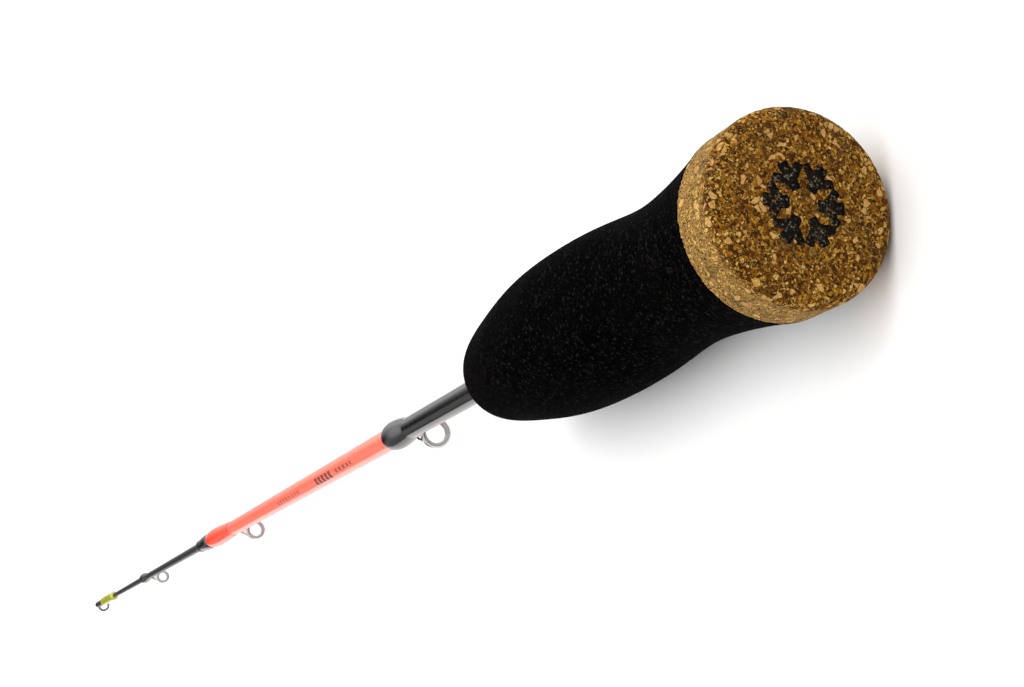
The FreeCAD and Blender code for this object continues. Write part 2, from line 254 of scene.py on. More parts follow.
class Board:
    """The node tree of a material, or of the world, while it is being wired."""

    def __init__(self, name: str, owner: bpy.types.ID | None = None) -> None:
        """Starts an empty tree.

        Args:
            name: The name of the material that is made.
            owner: What the tree belongs to instead of a new material, such as the world.
        """
        self.material = owner or bpy.data.materials.new(name)
        self.material.use_nodes = True
        self.tree = self.material.node_tree
        self.tree.nodes.clear()

    def node(self, kind: str, settings: dict[str, Any], values: dict[Any, Any]) -> bpy.types.Node:
        """Adds a node.

        Args:
            kind: The node's type.
            settings: Its properties, or the stops of a ramp as (place, colour) pairs.
            values: What goes to each input, by name or number: a Wire, a number or a vector.

        Returns:
            The new node.
        """
        made = self.tree.nodes.new(kind)
        for key, setting in settings.items():
            if key == "stops":
                self._set_stops(made.color_ramp, setting)
            else:
                setattr(made, key, setting)
        for key, value in values.items():
            socket = made.inputs[key]
            if isinstance(value, Wire):
                self.tree.links.new(value.socket, socket)
            else:
                socket.default_value = value
        return made

    @staticmethod
    def _set_stops(ramp: bpy.types.ColorRamp, stops: Stops) -> None:
        """Gives a ramp its stops.

        Args:
            ramp: The ramp, with two stops or more.
            stops: The place and colour of each stop.
        """
        while len(ramp.elements) < len(stops):
            ramp.elements.new(1.0)
        for element, (place, colour) in zip(ramp.elements, stops):
            element.position = place
            element.color = (*colour, 1.0)

    def wire(self, kind: str, output: str, settings: dict[str, Any], values: dict[Any, Any]) -> Wire:
        """Adds a node, as the method node does, and returns its named output."""
        return Wire(self, self.node(kind, settings, values).outputs[output])

    def place(self) -> Wire:
        """The point on the piece, in millimetres."""
        here = self.wire("ShaderNodeTexCoord", "Object", {}, {})
        values = {"Vector": here, "Scale": 1 / MM}
        return self.wire("ShaderNodeVectorMath", "Vector", {"operation": "SCALE"}, values)

    def parts(self, vector: Wire) -> tuple[Wire, Wire, Wire]:
        """The three numbers of a vector."""
        made = self.node("ShaderNodeSeparateXYZ", {}, {"Vector": vector})
        return tuple(Wire(self, made.outputs[axis]) for axis in "XYZ")

    def noise(self, at: Wire, scale: float, detail: float = 2.0, roughness: float = 0.5) -> Wire:
        """Smooth noise, about 0.5 on average."""
        values = {"Vector": at, "Scale": scale, "Detail": detail, "Roughness": roughness}
        return self.wire("ShaderNodeTexNoise", "Fac", {}, values)

    def warped(self, at: Wire, scale: float, amount: float) -> Wire:
        """A point pushed about by noise, to make a pattern on it irregular.

        Args:
            at: The point.
            scale: How fine the noise is.
            amount: How far it pushes.

        Returns:
            The new point.
        """
        push = self.wire("ShaderNodeTexNoise", "Color", {}, {"Vector": at, "Scale": scale, "Detail": 1.0})
        values = {0: push, 1: (amount,) * 3, 2: at}
        return self.wire("ShaderNodeVectorMath", "Vector", {"operation": "MULTIPLY_ADD"}, values)

    def _cells(self, at: Wire, scale: float, kind: Cells) -> bpy.types.Node:
        """Adds a node of irregular cells, that many to a millimetre."""
        return self.node("ShaderNodeTexVoronoi", {"feature": kind.value}, {"Vector": at, "Scale": scale})

    def cells(self, at: Wire, scale: float) -> tuple[Wire, Wire]:
        """Irregular cells.

        Args:
            at: The point.
            scale: Cells per unit of the point.

        Returns:
            The distance from the cell's centre, and a random number for each cell.
        """
        made = self._cells(at, scale, Cells.CENTRES)
        return Wire(self, made.outputs["Distance"]), self.parts(Wire(self, made.outputs["Color"]))[0]

    def gaps(self, at: Wire, scale: float) -> Wire:
        """The distance from the gap between the same irregular cells."""
        return Wire(self, self._cells(at, scale, Cells.GAPS).outputs["Distance"])

    def ramp(self, value: Wire, stops: Stops) -> Wire:
        """A colour that follows a value along a ramp's stops."""
        return self.wire("ShaderNodeValToRGB", "Color", {"stops": stops}, {"Fac": value})

    def mix(self, share: Any, first: Any, second: Any) -> Wire:
        """Mixes two colours.

        Args:
            share: How much of the second, from 0 to 1.
            first: The colour underneath.
            second: The colour on top.

        Returns:
            The mixed colour.
        """
        colours = (value if isinstance(value, Wire) else (*value, 1.0) for value in (first, second))
        values = dict(zip((MIX_SHARE, MIX_FIRST, MIX_SECOND), (share, *colours)))
        made = self.node("ShaderNodeMix", {"data_type": "RGBA"}, values)
        return Wire(self, made.outputs[MIX_COLOUR])

    def bump(self, height: Wire, depth: float, strength: float = 1.0) -> Wire:
        """A bumped normal.

        Args:
            height: The relief, from 0 to 1.
            depth: How deep it is, in metres.
            strength: How much of it shows.

        Returns:
            The normal.
        """
        values = {"Height": height, "Distance": depth, "Strength": strength}
        return self.wire("ShaderNodeBump", "Normal", {}, values)

    def finish(self, values: dict[str, Any]) -> bpy.types.Material:
        """Ends the tree in a Principled shader with those values, and returns the material."""
        shader = self.wire("ShaderNodeBsdfPrincipled", "BSDF", {}, values)
        self.node("ShaderNodeOutputMaterial", {}, {"Surface": shader})
        return self.material


# ------------------------------------------------------------------ finishes


@dataclass(frozen=True)
class Cork:
    """Rubberised cork: pressed granules in a dark binder, with larger pale flakes.

    granule, crumb and flake are how many there are to a millimetre. The turned side is painted
    paler than the end: painted light, for the light from above that falls on it.
    """

    granule: float = 2.3
    crumb: float = 4.2
    flake: float = 0.98
    mark_depth: float = 0.16
    mark_reach: float = 7.2
    tones: tuple[tuple[float, Colour], ...] = (
        (0.0, (0.028, 0.008, 0.001)),
        (0.20, (0.105, 0.031, 0.001)),
        (0.48, (0.270, 0.102, 0.004)),
        (0.74, (0.480, 0.220, 0.016)),
        (0.90, (0.680, 0.380, 0.070)),
        (1.0, (0.820, 0.560, 0.200)),
    )
    pale: tuple[tuple[float, Colour], ...] = (
        (0.80, (0.64, 0.310, 0.050)),
        (0.90, (0.84, 0.500, 0.150)),
        (1.0, (0.70, 0.340, 0.105)),
    )

    painted_side_light: Colour = (0.74, 0.46, 0.145)

    def material(self) -> bpy.types.Material:
        """Wires the cork."""
        board = Board("cork_granules")
        at = board.place()

        # granules, of which many are broken up into crumbs
        bent = board.warped(at, 1.6, 0.35)
        _, tone = board.cells(bent, self.granule)
        gap = board.gaps(bent, self.granule)
        crumbled = board.warped(at, 3.0, 0.2)
        _, crumb_tone = board.cells(crumbled, self.crumb)
        crumb_gap = board.gaps(crumbled, self.crumb)
        whole = (tone * 7.3).fraction() > 0.42
        mass = board.mix(whole, board.ramp(crumb_tone, self.tones), board.ramp(tone, self.tones))
        along, across, up = board.parts(at)
        # painted light: the rounded side, lit from above, is painted paler than the end
        mass = board.mix(along.step(0.9, 3.2) * 0.42, mass, self.painted_side_light)

        # dark binder between them, fine grain, pits and dark patches
        seams = board.mix(whole, crumb_gap.step(0.0, 0.12), gap.step(0.0, 0.07))
        seams = board.parts(seams)[0]
        mass = board.mix((1 - seams) * 0.80, mass, (0.016, 0.005, 0.001))
        grain = board.noise(at, 5.0, 3.0).step(0.40, 0.62)
        mass = board.mix(grain * 0.20, mass, (0.060, 0.020, 0.002))
        pits = board.noise(at, 3.0, 2.0).step(0.58, 0.63)
        mass = board.mix(pits * 0.75, mass, (0.012, 0.004, 0.001))
        patch = board.noise(at, 0.26, 3.0)
        mass = board.mix(patch.step(0.50, 0.70) * 0.40, mass, (0.044, 0.026, 0.010))

        # a few pale flakes with dark edges
        broad = board.warped(at, 1.1, 0.5)
        _, flake_tone = board.cells(broad, self.flake)
        flake_gap = board.gaps(broad, self.flake)
        flaky = flake_tone > 0.83
        flake = flaky * flake_gap.step(0.05, 0.10)
        mass = board.mix(flaky * (1 - flake_gap.step(0.02, 0.07)) * 0.7, mass, (0.05, 0.018, 0.005))
        mass = board.mix(flake * (0.92 - grain * 0.30), mass, board.ramp(flake_tone, self.pale))

        # the mark's recess is painted near-black down its sides: painted shade in the recess
        inside = (along > self.mark_depth) * ((across * across + up * up) < self.mark_reach**2)
        mass = board.mix(inside * 0.97, mass, (0.004, 0.003, 0.003))
        relief = seams * 0.6 + tone * 0.35 - pits * 0.8 + flake * 0.2 + board.noise(at, 6.0, 3.0) * 0.3
        return board.finish(
            {
                "Base Color": mass,
                "Roughness": 0.82 - flake * 0.16,
                "Specular IOR Level": 0.10,
                "Normal": board.bump(relief, 0.20 * MM, 0.9),
            }
        )


@dataclass(frozen=True)
class MarkInk:
    """Burnt and inked cork at the bottom of the debossed mark: black with pale grit."""

    grit: float = 3.4

    def material(self) -> bpy.types.Material:
        """Wires the ink."""
        board = Board("mark_ink_speckle")
        at = board.place()
        bent = board.warped(at, 3.0, 0.25)
        _, tone = board.cells(bent, self.grit)
        gap = board.gaps(bent, self.grit)
        grit = board.ramp(
            tone,
            [
                (0.0, (0.001, 0.001, 0.001)),
                (0.45, (0.006, 0.005, 0.003)),
                (0.70, (0.030, 0.024, 0.013)),
                (1.0, (0.240, 0.195, 0.115)),
            ],
        )
        colour = board.mix(1 - gap.step(0.02, 0.14), grit, (0.001, 0.001, 0.001))
        colour = board.mix((tone * 9.1).fraction() > 0.975, colour, (0.26, 0.085, 0.008))
        pits = board.noise(at, 1.1, 2.0).step(0.52, 0.60)
        colour = board.mix(pits * 0.95, colour, (0.001, 0.001, 0.001))
        relief = gap.step(0.0, 0.2) * 0.7 + board.noise(at, 6.0) * 0.3
        return board.finish(
            {
                "Base Color": colour,
                "Roughness": 0.66 + tone * 0.2,
                "Specular IOR Level": 0.12,
                "Normal": board.bump(relief, 0.15 * MM),
            }
        )


@dataclass(frozen=True)
class Foam:
    """Black closed-cell foam, ground smooth: a dull skin of fine open cells."""

    cell: float = 3.0

    def material(self) -> bpy.types.Material:
        """Wires the foam."""
        board = Board("foam_skin")
        at = board.place()
        reach, tone = board.cells(board.warped(at, 2.0, 0.3), self.cell)
        colour = board.ramp(
            tone,
            [
                (0.0, (0.0002, 0.0002, 0.0002)),
                (0.66, (0.0006, 0.0006, 0.0006)),
                (0.88, (0.0028, 0.0025, 0.0023)),
                (1.0, (0.0150, 0.0128, 0.0112)),
            ],
        )
        handled = board.noise(at, 0.09, 3.0).step(0.42, 0.68)
        colour = board.mix(handled * 0.25, colour, (0.0018, 0.0016, 0.0015))
        relief = reach.step(0.0, 0.5) * 0.6 + board.noise(at, 7.0, 2.0) * 0.4
        return board.finish(
            {
                "Base Color": colour,
                "Roughness": 0.88 - handled * 0.08,
                "Specular IOR Level": 0.006,
                "Normal": board.bump(relief, 0.06 * MM, 0.8),
            }
        )


@dataclass(frozen=True)
class BlankGloss:
    """Glossy black fibre composite, duller on the solid tip, with the faint spiral of its curing tape."""

    tape_pitch: float = 3.2
    dull_from: float = 380.0

    def material(self) -> bpy.types.Material:
        """Wires the blank."""
        board = Board("blank_gloss")
        at = board.place()
        along, across, up = board.parts(at)
        dull = along > self.dull_from
        spiral = (along + across * 0.6 + up * 0.6) * (2 * math.pi / self.tape_pitch)
        relief = spiral.sine() * 0.5 + board.noise(at, 1.6, 2.0)
        fleck = board.noise(at, 9.0, 2.0).step(0.62, 0.80)
        colour = board.mix(fleck * 0.6, (0.0040, 0.0040, 0.0044), (0.014, 0.014, 0.016))
        return board.finish(
            {
                "Base Color": colour,
                "Roughness": 0.13 + dull * 0.17 + board.noise(at, 0.7) * 0.08,
                "Specular IOR Level": 0.36,
                "Coat Weight": 0.36 - dull * 0.32,
                "Coat Roughness": 0.05,
                "Normal": board.bump(relief, 0.008 * MM, 0.4),
            }
        )


@dataclass(frozen=True)
class Word:
    """A row of plain dashes printed on the blank, in millimetres along and across it."""

    start: float
    end: float
    half_width: float
    strength: float


@dataclass(frozen=True)
class Lacquer:
    """Neon orange lacquer under a clear coat, with plain dark dashes along its top and a faint painted glow
    where nothing is printed.
    """

    words: tuple[Word, ...] = (
        Word(203.0, 217.5, 0.42, 0.72),
        Word(220.0, 236.0, 0.80, 0.86),
        Word(252.0, 276.0, 0.38, 0.50),
    )
    line: float = 1.45
    dash_pitch: float = 3.1
    dash_gap: float = 0.30

    def material(self) -> bpy.types.Material:
        """Wires the lacquer."""
        board = Board("orange_lacquer_gloss")
        at = board.place()
        along, across, up = board.parts(at)
        haze = board.noise(at, 0.5, 3.0)
        colour = board.mix(haze.step(0.3, 0.75), (1.0, 0.125, 0.068), (1.0, 0.165, 0.095))
        fleck = board.noise(at, 11.0, 1.0).step(0.60, 0.78)
        colour = board.mix(fleck * 0.2, colour, (1.0, 0.22, 0.12))
        dash = ((along / self.dash_pitch).fraction() > self.dash_gap) * (up > 0.0)
        off_line = abs(across - self.line)
        rows = [
            (along > word.start) * (along < word.end) * (off_line < word.half_width) * word.strength
            for word in self.words
        ]
        printed = dash * (rows[0] + rows[1] + rows[2])
        colour = board.mix(printed, colour, (0.060, 0.010, 0.012))
        return board.finish(
            {
                "Base Color": colour,
                "Roughness": 0.34 + haze * 0.06,
                "Coat Weight": 0.60,
                "Coat Roughness": 0.10,
                # painted glow: the unprinted lacquer emits a faint orange light of its own
                "Emission Color": board.mix(printed, (1.0, 0.11, 0.045), (0.0, 0.0, 0.0)),
                "Emission Strength": 0.2,
                "Normal": board.bump(board.noise(at, 0.35, 0.0), 0.01 * MM, 0.15),
            }
        )


@dataclass(frozen=True)
class Winding:
    """Turns of thread laid side by side under a thick gloss of resin, with painted shade between the turns
    and, on some windings, a painted glow.
    """

    name: str
    thread: Colour
    shade: Colour
    painted_glow: float = 0.0
    resin: float = 0.25
    pitch: float = 0.22

    def material(self) -> bpy.types.Material:
        """Wires the winding."""
        board = Board(self.name)
        at = board.place()
        along, _, _ = board.parts(board.warped(at, 0.9, 0.10))
        turns = abs((along * (math.pi / self.pitch)).sine())
        uneven = board.noise(at, 1.7, 2.0)
        # painted shade in the grooves between turns; the same darker colour also darkens random patches of
        # thread
        colour = board.mix(turns.step(0.05, 0.55), self.shade, self.thread)
        colour = board.mix(uneven.step(0.55, 0.80) * 0.4, colour, self.shade)
        return board.finish(
            {
                "Base Color": colour,
                "Roughness": 0.20 + uneven * 0.10,
                "Specular IOR Level": 0.34,
                "Coat Weight": self.resin,
                "Coat Roughness": 0.04,
                # painted glow: the thread's colour is also emitted, as light of its own
                "Emission Color": colour,
                "Emission Strength": self.painted_glow,
                "Normal": board.bump(turns * 0.7 + uneven * 0.6, 0.010 * MM, 0.4),
            }
        )


@dataclass(frozen=True)
class Metal:
    """Stamped or drawn metal, polished or blacked, with fine rub marks."""

    name: str
    bare: Colour
    worn: Colour
    polish: float
    metallic: float = 1.0

    def material(self) -> bpy.types.Material:
        """Wires the metal."""
        board = Board(self.name)
        at = board.place()
        rubs = board.noise(at, 6.0, 4.0, 0.7)
        worn = board.noise(at, 1.9, 3.0).step(0.56, 0.72)
        return board.finish(
            {
                "Base Color": board.mix(worn * 0.6, self.bare, self.worn),
                "Metallic": self.metallic,
                "Roughness": self.polish + rubs * 0.14,
                "Normal": board.bump(rubs, 0.008 * MM, 0.4),
            }
        )


@dataclass(frozen=True)
class Ceramic:
    """Dense grey ceramic, lapped smooth where the line runs."""

    def material(self) -> bpy.types.Material:
        """Wires the ceramic."""
        board = Board("ring_ceramic")
        at = board.place()
        grain = board.noise(at, 8.0, 3.0)
        return board.finish(
            {
                "Base Color": board.ramp(grain, [(0.3, (0.30, 0.29, 0.29)), (0.7, (0.46, 0.45, 0.45))]),
                "Roughness": 0.10 + grain * 0.08,
                "Coat Weight": 0.6,
                "Coat Roughness": 0.05,
                "Normal": board.bump(grain, 0.006 * MM, 0.3),
            }
        )


@dataclass(frozen=True)
class Tape:
    """Crepe paper tape, wound in rings."""

    def material(self) -> bpy.types.Material:
        """Wires the tape."""
        board = Board("crepe_tape")
        at = board.place()
        crepe = board.noise(at, 3.0, 3.0)
        return board.finish(
            {
                "Base Color": board.ramp(crepe, [(0.3, (0.42, 0.33, 0.17)), (0.7, (0.62, 0.52, 0.30))]),
                "Roughness": 0.8 + crepe * 0.1,
                "Normal": board.bump(crepe, 0.05 * MM),
            }
        )


def make_finishes() -> dict[Slot, bpy.types.Material]:
    """Every finish of the rod, by the record's slot."""
    finishes = {
        Slot.CORK: Cork(),
        Slot.MARK: MarkInk(),
        Slot.FOAM: Foam(),
        Slot.TAPE: Tape(),
        Slot.BLANK: BlankGloss(),
        Slot.LACQUER: Lacquer(),
        Slot.BLACK_WINDING: Winding("black_thread_resin", (0.008, 0.008, 0.009), (0.002, 0.002, 0.002)),
        # the orange and yellow windings get a painted glow
        Slot.ORANGE_WINDING: Winding("orange_thread_resin", (1.0, 0.075, 0.030), (0.62, 0.030, 0.010), 0.2),
        Slot.YELLOW_WINDING: Winding("yellow_thread_resin", (0.44, 0.45, 0.005), (0.28, 0.30, 0.003), 0.04),
        Slot.GUIDE_METAL: Metal("polished_steel", (0.62, 0.60, 0.60), (0.50, 0.47, 0.46), 0.07),
        Slot.CERAMIC: Ceramic(),
        Slot.TIP_METAL: Metal("blacked_steel", (0.020, 0.020, 0.023), (0.055, 0.053, 0.050), 0.24, 0.7),
    }
    return {slot: finish.material() for slot, finish in finishes.items()}


# ------------------------------------------------------------------ bench work


def deselect_everything() -> None:
    """Leaves nothing selected."""
    bpy.ops.object.select_all(action="DESELECT")


def take(piece: bpy.types.Object) -> None:
    """Makes a piece the only selected one, and the active one."""
    deselect_everything()
    piece.select_set(True)
    bpy.context.view_layer.objects.active = piece


@contextmanager
def editing(piece: bpy.types.Object) -> Iterator[None]:
    """Edit mode on one piece, with all of it selected at the start.

    Args:
        piece: The piece.

    Yields:
        Nothing. The piece is in edit mode until the block ends.
    """
    take(piece)
    bpy.ops.object.mode_set(mode="EDIT")
    bpy.ops.mesh.select_mode(type="VERT")
    bpy.ops.mesh.select_all(action="SELECT")
    try:
        yield
    finally:
        bpy.ops.object.mode_set(mode="OBJECT")


def pick(piece: bpy.types.Object, wanted: Callable[[Vector], bool]) -> None:
    """Selects, in edit mode, some vertices with the edges and faces between them.

    Args:
        piece: The piece.
        wanted: Says of a vertex's place whether it is wanted.
    """
    bpy.ops.mesh.select_all(action="DESELECT")
    mesh = bmesh.from_edit_mesh(piece.data)
    for vertex in mesh.verts:
        if wanted(vertex.co):
            vertex.select_set(True)
    mesh.select_flush(True)
    bmesh.update_edit_mesh(piece.data)


def settle(piece: bpy.types.Object, name: str) -> bpy.types.Object:
    """Names a piece and puts its place, turn and size into its mesh.

    Args:
        piece: The piece.
        name: Its name.

    Returns:
        The same piece.
    """
    take(piece)
    bpy.ops.object.transform_apply(location=True, rotation=True, scale=True)
    piece.name = name
    piece.data.name = name
    return piece


def apply(piece: bpy.types.Object, kind: str, **settings: Any) -> None:
    """Adds a modifier and applies it.

    Args:
        piece: The piece.
        kind: The modifier's type.
        settings: Its properties.
    """
    take(piece)
    modifier = piece.modifiers.new(kind.title(), kind)
    for key, setting in settings.items():
        setattr(modifier, key, setting)
    bpy.ops.object.modifier_apply(modifier=modifier.name)


def smooth(piece: bpy.types.Object, angle: float = 35.0) -> None:
    """Shades a piece smooth, keeping edges sharper than the angle, in degrees."""
    take(piece)
    bpy.ops.object.shade_smooth_by_angle(angle=math.radians(angle))


def join(name: str, pieces: Sequence[bpy.types.Object]) -> bpy.types.Object:
    """Joins pieces into the first of them.

    Args:
        name: The name that it takes.
        pieces: The pieces.

    Returns:
        The joined piece.
    """
    take(pieces[0])
    for piece in pieces[1:]:
        piece.select_set(True)
    bpy.ops.object.join()
    pieces[0].name = name
    pieces[0].data.name = name
    return pieces[0]


def turned(
    name: str,
    stations: Sequence[Station],
    segments: int,
    drop: float = 0.0,
    closed: bool = False,
) -> bpy.types.Object:
    """Turns a piece about a line along X.

    A ring of points is set at the first station, then drawn out and resized to each next one.

    Args:
        name: The piece's name.
        stations: (along X, radius) of each ring, in order.
        segments: Points in each ring.
        drop: How far the line lies under the rod's axis.
        closed: True where the last ring meets the first, as on a bush. Else both ends are filled.

    Returns:
        The new piece, with its place in its mesh.
    """
    along, radius = stations[0]
    deselect_everything()
    bpy.ops.mesh.primitive_circle_add(
        vertices=segments, radius=radius, location=(along, 0, -drop), rotation=(0, HALF_TURN / 2, 0)
    )
    piece = settle(bpy.context.object, name)
    with editing(piece):
        for next_along, next_radius in stations[1:]:
            bpy.ops.mesh.extrude_region_move(TRANSFORM_OT_translate={"value": (next_along - along, 0, 0)})
            growth = next_radius / radius
            bpy.ops.transform.resize(value=(1, growth, growth), center_override=(next_along, 0, -drop))
            along, radius = next_along, next_radius
        bpy.ops.mesh.select_all(action="SELECT")
        if closed:
            bpy.ops.mesh.remove_doubles(threshold=MERGE)
        else:
            bpy.ops.mesh.fill_holes(sides=0)
        bpy.ops.mesh.select_all(action="SELECT")
        bpy.ops.mesh.normals_make_consistent(inside=False)
    smooth(piece)
    return piece


def bush(
    name: str,
    middle: float,
    width: float,
    inner: float,
    outer: float,
    drop: float,
    lip: float,
) -> bpy.types.Object:
    """A ring with rounded edges, square to X.

    Args:
        name: The piece's name.
        middle: Where its middle is along X.
        width: Its width along X.
        inner: Its bore's radius.
        outer: Its outer radius.
        drop: How far its centre lies under the rod's axis.
        lip: The radius of its rounded edges.

    Returns:
        The new ring.
    """
    steps = 6
    section = []
    corners = ((1, outer - lip, 90), (1, inner + lip, 0), (-1, inner + lip, -90), (-1, outer - lip, 180))
    for side, radius, first_angle in corners:
        centre = middle + side * (width / 2 - lip)
        for step in range(steps + 1):
            angle = math.radians(first_angle - 90 * step / steps)
            section.append((centre + lip * math.cos(angle), radius + lip * math.sin(angle)))
    section.append(section[0])
    return turned(name, section, 64, drop, closed=True)


def bent_wire(
    name: str,
    start: Vector,
    lean: Vector,
    rise: Vector,
    end: Vector,
    thick: float,
) -> bpy.types.Object:
    """A short bent wire, thinner at its end.

    Args:
        name: The piece's name.
        start: Where it starts.
        lean: The point that it first heads for.
        rise: The point that it comes in from at its end.
        end: Where it ends.
        thick: Its radius at the start.

    Returns:
        The wire as a mesh.
    """
    deselect_everything()
    bpy.ops.curve.primitive_bezier_curve_add(location=(0, 0, 0))
    wire = bpy.context.object
    wire.data.dimensions = "3D"
    wire.data.bevel_depth = thick
    wire.data.bevel_resolution = 4
    wire.data.resolution_u = 14
    wire.data.use_fill_caps = True
    first, last = wire.data.splines[0].bezier_points
    for point, place, left, right in ((first, start, start, lean), (last, end, rise, end)):
        point.handle_left_type = point.handle_right_type = "FREE"
        point.co, point.handle_left, point.handle_right = place, left, right
    last.radius = WIRE_END
    take(wire)
    bpy.ops.object.convert(target="MESH")
    piece = settle(bpy.context.object, name)
    with editing(piece):
        bpy.ops.mesh.remove_doubles(threshold=MERGE)
        bpy.ops.mesh.normals_make_consistent(inside=False)
    smooth(piece)
    return piece


def outline(node: bpy.types.Object, drop: float = 0.0, above: float = 0.0) -> list[Station]:
    """The outer outline of a CAD node that was turned about X.

    Args:
        node: The node.
        drop: How far its line lies under the rod's axis.
        above: Radii under this one are left out, such as those of its bore.

    Returns:
        (along, radius) pairs in order along X.
    """
    widest: dict[int, float] = {}
    for vertex in node.data.vertices:
        radius = math.hypot(vertex.co.y, vertex.co.z + drop)
        key = round(vertex.co.x / GRID)
        if radius > above:
            widest[key] = max(radius, widest.get(key, 0.0))
    return [(key * GRID, radius) for key, radius in sorted(widest.items())]


def evenly(stations: Sequence[Station], step: float) -> list[Station]:
    """The same outline with its stations evenly apart, straight between the old ones.

    Args:
        stations: The outline.
        step: About how far apart the new stations are.

    Returns:
        The new stations.
    """
    along, radii = (np.array(column) for column in zip(*stations))
    count = max(2, round((along[-1] - along[0]) / step) + 1)
    places = np.linspace(along[0], along[-1], count)
    return [(float(x), float(r)) for x, r in zip(places, np.interp(places, along, radii))]


def roughen(piece: bpy.types.Object, name: str, kind: Relief, size: float, depth: float) -> None:
    """Pushes a dense mesh in and out by a procedural pattern.

    Args:
        piece: The piece.
        name: The pattern's name.
        kind: The kind of pattern.
        size: The pattern's size.
        depth: How far it pushes in all.
    """
    pattern = bpy.data.textures.new(name, kind.value)
    pattern.noise_scale = size
    apply(piece, "DISPLACE", texture=pattern, texture_coords="LOCAL", strength=depth, mid_level=0.5)


# ------------------------------------------------------------------ the rod's sub-assemblies


@dataclass
class Workshop:
    """What every sub-assembly needs: the frame, the finishes and the line that the tip bends on."""

    nodes: dict[str, bpy.types.Object]
    mounts: dict[str, dict[str, Any]]
    finishes: dict[Slot, bpy.types.Material]
    bend_reach: float = 1.36

    def bend_line(self) -> tuple[Vector, Vector]:
        """Where the tip starts to bend, and the point past its end that sets how its bend spreads."""
        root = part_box("blank_tube")[1].x
        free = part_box("tip_top_frame")[1].x - root
        return Vector((root, 0, 0)), Vector((root + free * self.bend_reach, 0, 0))

    def hang(self, piece: bpy.types.Object, slot: Slot, body: Body, *stands_for: str) -> None:
        """Dresses a finished piece and, on the handle, fixes it to its body.

        Args:
            piece: The piece.
            slot: The finish that it takes.
            body: The body that it rides on. A piece on the tip is fixed to no body and stays where it was
                made.
            stands_for: The CAD nodes that it replaces.
        """
        piece.data.materials.clear()
        piece.data.materials.append(self.finishes[slot])
        if body is Body.HANDLE:
            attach(piece, body.value)
        else:
            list(self.bend_line())
            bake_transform(piece)
        if stands_for:
            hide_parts(*stands_for)
        LOG.info("%s: %d faces, for %s", piece.name, len(piece.data.polygons), ", ".join(stands_for))

    def dress_node(self, name: str, slot: Slot) -> None:
        """Gives a CAD node that stays its finish."""
        node = self.nodes[name]
        node.data.materials.clear()
        node.data.materials.append(self.finishes[slot])
        LOG.info("%s: dressed as it is", name)


